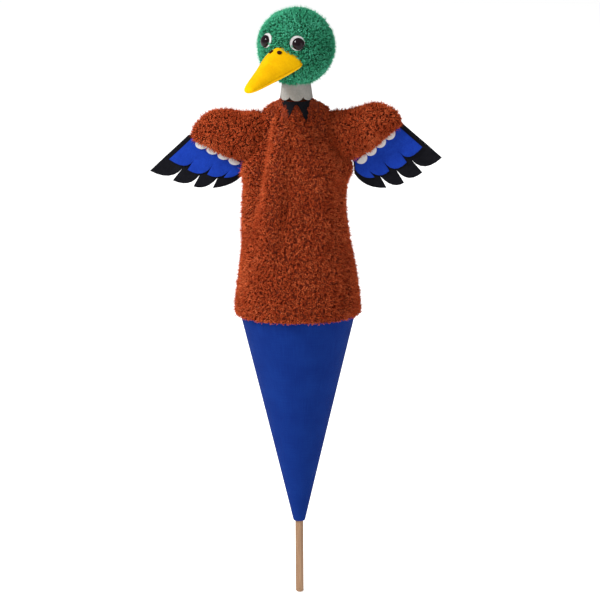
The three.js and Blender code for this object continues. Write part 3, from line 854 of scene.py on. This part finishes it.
def felt(name, dark, light, fibre=0.55):
    """Pressed wool: short matted fibres in every direction, a little uneven in colour."""
    finish = Finish(name, roughness=0.95, specular_ior_level=0.06)
    where = finish.place()
    fine = finish.noise(where, fibre, 4, 0.75)
    matted = finish.noise(where, fibre * 4, 3, 0.6)
    broad = finish.noise(where, 14, 2)
    tone = fine * 0.5 + matted * 0.3 + broad * 0.3
    finish.feed(base_color=finish.mix(finish.spread(tone, 0.38, 0.74), dark, light))
    finish.bump(fine * 0.6 + matted * 0.6, 0.28)
    return finish.material


felts = {
    "black": felt("black_felt", (0.0025, 0.0025, 0.0035), (0.008, 0.008, 0.011)),
    "blue": felt("blue_felt", (0.004, 0.021, 0.20), (0.010, 0.044, 0.35)),
    "white": felt("white_felt", (0.42, 0.41, 0.41), (0.62, 0.605, 0.60)),
    "yellow": felt("yellow_felt", (0.64, 0.31, 0.0), (0.82, 0.475, 0.001), 0.8),
    "brown": felt("brown_felt", (0.018, 0.004, 0.002), (0.05, 0.012, 0.008)),
}


def cut_felt(node, name, material, slices=0.0045):
    """A copy of a flat CAD felt, cut into a fine mesh so that it can bend, with rounded edges."""
    source = frame["nodes"][node]
    piece = bpy.data.objects.new(name, source.data.copy())
    bpy.context.scene.collection.objects.link(piece)
    piece.data.materials.clear()
    piece.data.materials.append(material)
    bpy.ops.object.select_all(action="DESELECT")
    piece.select_set(True)
    bpy.context.view_layer.objects.active = piece
    bpy.ops.object.mode_set(mode="EDIT")
    bpy.ops.mesh.select_all(action="SELECT")
    bpy.ops.mesh.remove_doubles(threshold=1e-5)
    bpy.ops.mesh.dissolve_limited(angle_limit=math.radians(2))
    bpy.ops.object.mode_set(mode="OBJECT")
    apply(piece, "BEVEL", width=0.3 * MM, segments=2, limit_method="ANGLE", angle_limit=math.radians(40))
    low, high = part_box(node)
    bpy.ops.object.mode_set(mode="EDIT")
    for axis in (0, 2):
        normal = [0.0, 0.0, 0.0]
        normal[axis] = 1.0
        for at in np.arange(low[axis] + slices, high[axis], slices):
            bpy.ops.mesh.select_all(action="SELECT")
            point = [0.0, 0.0, 0.0]
            point[axis] = at
            bpy.ops.mesh.bisect(plane_co=point, plane_no=normal)
    bpy.ops.mesh.select_all(action="SELECT")
    bpy.ops.mesh.quads_convert_to_tris()
    bpy.ops.object.mode_set(mode="OBJECT")
    bpy.ops.object.shade_smooth_by_angle(angle=math.radians(35))
    return piece


def outline_area(piece):
    """Half of a thin plate's surface, which is about its cut."""
    return sum(face.area for face in piece.data.polygons) / 2


STRIP_SHOWS = 2.0 * MM  # how much further the white strip is pulled out of the seam
SEAM_RUN = (0.757, 0.654)  # the way the sleeve's lower seam runs, along which the felts are cut
SEAM_OFF = 14  # how far the felts stay flat out from the seam, in millimetres
FELT_CURL = {"black": 3.0, "blue": 2.0, "white": 0.5}  # at the tips, in millimetres

# The right wing's felts are pulled out wider, and so hang less deep: the felt's x and z after it,
# from its x, its z and a shift in millimetres.
WING_SPREAD = {"left": ((1, 0, 0), (0, 1, 0)), "right": ((1.065, 0.05, -0.8), (-0.03, 0.84, -2.0))}


def hang(piece, place, spread, colour):
    """Curls a felt towards its tips and spreads it, and gives the felt's flat size along and across
    the seam. place takes the wing's own frame to where the wing is."""
    back = place.inverted()
    along_seam, off_seam = SEAM_RUN
    cut = []
    for vertex in piece.data.vertices:
        local = back @ vertex.co
        x, z = local.x / MM, local.z / MM
        cut.append((x * along_seam + z * off_seam, z * along_seam - x * off_seam))
        reach = max(0.0, (x * off_seam - z * along_seam - SEAM_OFF) / 42)
        bent = FELT_CURL[colour] * reach**2 * (0.55 * math.sin(x / 13 + 0.6) + 0.25)
        local.y += max(-1.2, min(2.6, bent)) * MM
        local.x, local.z = ((a * x + b * z + c) * MM for a, b, c in spread)
        if colour == "white":
            local.z -= STRIP_SHOWS
        vertex.co = place @ local
    return tuple(float(side) * MM for side in np.ptp(np.array(cut), axis=0))


for name, sign, droop in wing_sides:
    for colour in ("black", "blue", "white"):
        node = f"{name}_wing_{colour}"
        piece = cut_felt(node, f"{name}_{colour}_feathers", felts[colour])
        flat = hang(piece, wing_place(name, sign, droop), WING_SPREAD[name], colour)
        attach(piece, name + "_wing")
        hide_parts(node)
        area = min(outline_area(piece), flat[0] * flat[1])


# ------------------------------------------------------------------ neck
# The gathered neck is tied with dark thread. A black felt ruff with six points covers the tie and
# turns with the glove; the white felt collar above it is glued under the head.

twine = Finish("dark_thread", roughness=0.8)
lay = twine.noise(twine.place((1, 1, 6)), 0.5, 2)
twine.feed(base_color=twine.mix(lay, (0.012, 0.005, 0.003), (0.05, 0.02, 0.012)))
twine.bump(lay, 0.3)
dress("neck_binding", twine.material)

NECK_FELT = 1.2 * MM


def ruff_shape(angle, share):
    z = RUFF_TOP_Z + (ruff_edge(angle) - RUFF_TOP_Z) * share
    radius = RUFF_TOP + (RUFF_TIP - RUFF_TOP) * (RUFF_TOP_Z - z) / (RUFF_TOP_Z - RUFF_TIP_Z)
    radius = radius + 0.4 * MM * np.sin(5 * angle + 1) * share
    return radius * np.sin(angle), -radius * np.cos(angle), z


collar_low, collar_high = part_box("white_collar")
COLLAR_TOP, COLLAR_FOOT = 14.4 * MM, 16.6 * MM
SCALLOPS = 7
CUSP = 4.5 * MM


def collar_shape(angle, share):
    bottom = collar_low.z + CUSP * (1 - np.sqrt(abs(np.cos(angle * SCALLOPS / 2))))
    top = collar_high.z + 2.6 * MM  # tucked into the head's pile
    z = top + (bottom - top) * share
    slope = (COLLAR_FOOT - COLLAR_TOP) / (collar_high.z - collar_low.z)
    radius = COLLAR_TOP + slope * (collar_high.z - z)
    return radius * np.sin(angle), -radius * np.cos(angle), z


# The neck ring's felt is the white felt made darker and greyer: painted shade of the head's shadow.
shaded_ring_felt = felt("shaded_ring_felt", (0.20, 0.193, 0.18), (0.34, 0.327, 0.305))
for name, node, around, rows, shape, material, slot, body in (
    ("black_ruff", "neck_ruff", 240, 14, ruff_shape, felts["black"], "black_felt", "neck"),
    ("white_neck_ring", "white_collar", 210, 10, collar_shape, shaded_ring_felt, "white_felt", "rod"),
):
    band = rings(name, around, rows, shape)
    apply(band, "SOLIDIFY", thickness=NECK_FELT, offset=-1)
    apply(band, "BEVEL", width=0.25 * MM, segments=2, limit_method="ANGLE", angle_limit=math.radians(50))
    bpy.ops.object.shade_smooth_by_angle(angle=math.radians(50))
    band.data.materials.append(material)
    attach(band, body)
    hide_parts(node)
    low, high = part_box(node)
    girth = math.pi * (high.x - low.x)
    flat = (girth, high.z - low.z + 3 * MM)
    area = min(outline_area(band), flat[0] * flat[1])


# ------------------------------------------------------------------ head
# A ball of wood under a cover of green curly plush, finer than the glove's, drawn together under
# the chin. It looks towards the drake's right.

head_low, head_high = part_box("head_cover")
HEAD = Vector((0, 0, head_high.z - (head_high.x - head_low.x) / 2))
HEAD_RADIUS = (head_high.x - head_low.x) / 2
HEAD_PILE = 2.5 * MM
FACE_YAW = math.radians(-28)
face_turn = Matrix.Rotation(FACE_YAW, 4, "Z")
head_place = Matrix.Translation(HEAD) @ face_turn
EYE_AZIMUTH, EYE_TILT, EYE_TURN = math.radians(30), math.radians(75.5), math.radians(1.5)
EYE_SUNK = 1.9 * MM  # the eyes are pulled down into the pile
EYE_RADIUS = 6.2 * MM
DISC_RADIUS = 7.5 * MM
DISC_IN, DISC_UP = 0.9 * MM, 0.9 * MM  # from the eye's middle towards the bill, and upwards


def eye_place(side):
    """Takes the eye's own frame, z out of the head, to its place on the head's surface."""
    turn = Matrix.Rotation(side * EYE_AZIMUTH + EYE_TURN, 4, "Z") @ Matrix.Rotation(EYE_TILT, 4, "X")
    return head_place @ turn @ Matrix.Translation((0, 0, HEAD_RADIUS - EYE_SUNK))


begin(bpy.ops.mesh.primitive_uv_sphere_add, segments=96, ring_count=48, radius=HEAD_RADIUS - HEAD_PILE)
bpy.ops.object.mode_set(mode="OBJECT")
ball = bpy.context.object
points = np.array([v.co for v in ball.data.vertices])
lumps = 1 + 0.010 * waves(points, 30 * MM, 51) + 0.009 * waves(points, 9 * MM, 52)
placed = points * lumps[:, None] + np.array(HEAD)
ball.data.vertices.foreach_set("co", placed.astype(np.float32).ravel())
bpy.ops.object.mode_set(mode="EDIT")
ball = finish_edit("head_ground")

green_knit = Finish("green_knit", roughness=1.0)
stitches = green_knit.noise(green_knit.place(), 0.6, 3)
green_knit.feed(base_color=green_knit.mix(stitches, (0.005, 0.07, 0.03), (0.012, 0.14, 0.06)))
green_knit.bump(stitches, 0.3)
ball.data.materials.append(green_knit.material)


def off_the_face(root):
    """Roots that no eye felt and no bill covers. The pile grows close under the eyes."""
    clear = np.ones(len(root), bool)
    for side in (-1, 1):
        inverted = np.array(eye_place(side).inverted())
        x, y, z = (root @ inverted[:3, :3].T + inverted[:3, 3]).T
        in_eye = np.hypot(x, y) < EYE_RADIUS + 0.1 * MM
        in_disc = np.hypot(x + side * DISC_IN, y - DISC_UP) < DISC_RADIUS - 0.2 * MM
        clear &= ~((in_eye | (in_disc & (y > -1.0 * MM))) & (z > -HEAD_RADIUS))
    local = (root - np.array(HEAD)) @ np.array(face_turn)[:3, :3]
    x, height = abs(local[:, 0]) / MM, local[:, 2] / MM
    under_bill = (local[:, 1] < 0) & (x < 20) & (height < 5.5 - 0.72 * x) & (height > -18 + 0.35 * x)
    return clear & ~under_bill


head_pile = grow_pile("head_pile", ball, 19500, 4.3 * MM, 0.8 * MM, 2.6 * MM, 61, keep=off_the_face)
# Root, dark, light and bright: the root colour is painted shade between the tufts, the rest is the dye.
GREEN = ((0.007, 0.085, 0.036), (0.022, 0.245, 0.115), (0.052, 0.395, 0.215), (0.115, 0.610, 0.380))
head_pile.data.materials.append(plush("green_plush", *GREEN))
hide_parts("head_cover")
for piece in (ball, head_pile):
    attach(piece, "rod")


# ------------------------------------------------------------------ eyes
# Black 12 mm safety eyes, whose shanks go through white felt discs and the head's cover. The discs
# sit a little high and towards the bill, so they show as crescents there.

gloss = Finish("black_gloss", roughness=0.1, specular_ior_level=0.16)
depth = gloss.noise(gloss.place(), 5, 2)
gloss.feed(base_color=gloss.mix(depth, (0.004, 0.002, 0.003), (0.012, 0.006, 0.008)))
gloss.feed(roughness=0.08 + gloss.noise(gloss.place(), 1.5, 2) * 0.05)

DISC_THICKNESS = 1.0 * MM
DOME, BACK = 0.62, 0.3  # the eye's height in front and behind, as shares of its radius
EYE_OUT = 1.5 * MM  # from the cover's surface to the eye's widest part
for name, side in (("right", -1), ("left", 1)):
    begin(bpy.ops.mesh.primitive_uv_sphere_add, segments=48, ring_count=32, radius=EYE_RADIUS)
    bpy.ops.object.mode_set(mode="OBJECT")
    eye = bpy.context.object
    place = eye_place(side)
    for vertex in eye.data.vertices:
        x, y, z = vertex.co
        vertex.co = place @ Vector((x, y, z * (DOME if z > 0 else BACK) + EYE_OUT))
    bpy.ops.object.mode_set(mode="EDIT")
    eye = finish_edit(name + "_glossy_eye")
    eye.data.materials.append(gloss.material)
    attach(eye, "rod")
    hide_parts(name + "_eye")

    disc_size = {"vertices": 64, "radius": DISC_RADIUS, "depth": DISC_THICKNESS}
    begin(bpy.ops.mesh.primitive_cylinder_add, end_fill_type="TRIFAN", **disc_size)
    bpy.ops.mesh.subdivide(number_cuts=3)
    bpy.ops.object.mode_set(mode="OBJECT")
    disc = bpy.context.object
    for vertex in disc.data.vertices:
        x, y = vertex.co.x - side * DISC_IN, vertex.co.y + DISC_UP
        sag = 0.75 * (HEAD_RADIUS - math.sqrt(HEAD_RADIUS**2 - x * x - y * y))
        vertex.co = place @ Vector((x, y, vertex.co.z + 0.6 * MM - sag))
    bpy.ops.object.mode_set(mode="EDIT")
    disc = finish_edit(name + "_eye_disc")
    bpy.ops.object.shade_smooth_by_angle(angle=math.radians(40))
    disc.data.materials.append(felts["white"])
    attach(disc, "rod")
    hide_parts(name + "_eye_felt")
    area = math.pi * DISC_RADIUS**2


# ------------------------------------------------------------------ bill
# Two pieces of yellow felt sewn together round the edge and stuffed, with two felt nostrils. The
# soft bill folds flat against the face inside the cone, but is built here only as it is at rest.

# From the head's centre along the bill, in millimetres: distance, half width, height over the
# seam and depth under it.
BILL = np.array(
    [
        (29.9, 0, 0, 0),
        (30, 22.4, 17.4, 8.5),
        (36, 21.2, 17.8, 8.6),
        (44, 19.4, 17.0, 8.6),
        (54, 17.0, 14.8, 8.2),
        (68, 13.6, 11.2, 7.4),
        (82, 10.4, 7.8, 6.2),
        (93, 8.0, 5.6, 4.8),
        (100, 6.0, 4.2, 3.3),
        (103, 4.2, 2.9, 2.3),
        (104.2, 0, 0, 0),
    ]
)
RIDGE = 0.04  # how round the ridge is
BILL_LEAN = 0.88  # the far side is pulled in a little
SEAM_START, SEAM_START_AT, SEAM_SLOPE = -10.6, 28, -0.22
bill_rotation = np.array(head_place)[:3, :3]


def bill_half(sign):
    """The upper or lower felt as a half tube along the bill, closed underneath by its seam."""
    stations = along(BILL[:, :2])

    def shape(angle, share):
        at = share * stations[-1]
        distance, wide, over, under = (np.interp(at, stations, BILL[:, k]) for k in range(4))
        height = over if sign > 0 else under
        side, rise = np.sin(angle), np.cos(angle)
        x = wide * side * np.where(side < 0, BILL_LEAN, 1)
        tent = 1 - (np.sqrt(side**2 + RIDGE) - RIDGE**0.5) / ((1 + RIDGE) ** 0.5 - RIDGE**0.5)
        peaked = np.clip((95 - distance) / 60, 0, 0.5) if sign > 0 else 0
        curve = peaked * tent + (1 - peaked) * abs(rise) ** 0.9
        profile_height = np.where(rise > 0, curve * height, -0.2 * np.abs(rise) ** 0.5)
        lip = np.exp(-((rise / 0.16) ** 2)) * np.clip(wide / 8, 0, 1)
        x = x * (1 + 0.045 * lip)
        z = SEAM_START + SEAM_SLOPE * (distance - SEAM_START_AT) + sign * (0.12 + profile_height)
        local = np.stack([x, -distance, z]) * MM
        return tuple(bill_rotation @ local + np.array(HEAD)[:, None])

    return shape


bill_pieces = []
for name, sign, *nodes in (
    ("bill_top", 1, "bill_upper", "bill_stuffing"),
    ("bill_underside", -1, "bill_lower"),
):
    half = rings(name, 72, 40, bill_half(sign))
    half.data.materials.append(felts["yellow"])
    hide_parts(*nodes)
    bill_pieces.append(half)

# Each nostril is an oval felt pad on its own side of the ridge.
NOSTRIL_OUT, NOSTRIL_AT, NOSTRIL_UP = 4.7, 44.3, 2.0
NOSTRIL_SIZE = Matrix.Diagonal((2.3, 3.1, 0.9)) * MM
NOSTRIL_SLOPE, NOSTRIL_TILT = math.radians(16), math.radians(28)
for name, side in (("right", -1), ("left", 1)):
    begin(bpy.ops.mesh.primitive_uv_sphere_add, segments=24, ring_count=12, radius=1)
    bpy.ops.object.mode_set(mode="OBJECT")
    nostril = bpy.context.object
    centre = head_place @ (Vector((side * NOSTRIL_OUT, -NOSTRIL_AT, NOSTRIL_UP)) * MM)
    tilt = head_place.to_3x3() @ Euler((NOSTRIL_SLOPE, side * NOSTRIL_TILT, 0)).to_matrix()
    for vertex in nostril.data.vertices:
        vertex.co = tilt @ NOSTRIL_SIZE @ vertex.co + centre
    bpy.ops.object.mode_set(mode="EDIT")
    nostril = finish_edit(name + "_felt_nostril")
    nostril.data.materials.append(felts["brown"])
    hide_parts(name + "_nostril")
    bill_pieces.append(nostril)

for piece in bill_pieces:
    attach(piece, "rod")
    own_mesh(piece)


# ------------------------------------------------------------------ floor
# A plain pale floor, as of matt paper, just under the stick's end. It lights the puppet from below
# a little and isn't a part of it.

bpy.ops.object.select_all(action="DESELECT")
bpy.ops.mesh.primitive_plane_add(size=60, location=(0, 0, cad_low.z - 0.5 * MM))
floor = bpy.context.object
floor.name = "floor"
paper = Finish("pale_paper", roughness=0.9)
grain = paper.noise(paper.place(), 900, 2)
paper.feed(base_color=paper.mix(grain, (0.90, 0.90, 0.90), (0.93, 0.93, 0.93)))
paper.skin.inputs["Emission Color"].default_value = (1, 1, 1, 1)
paper.skin.inputs["Emission Strength"].default_value = 0.5
floor.data.materials.append(paper.material)
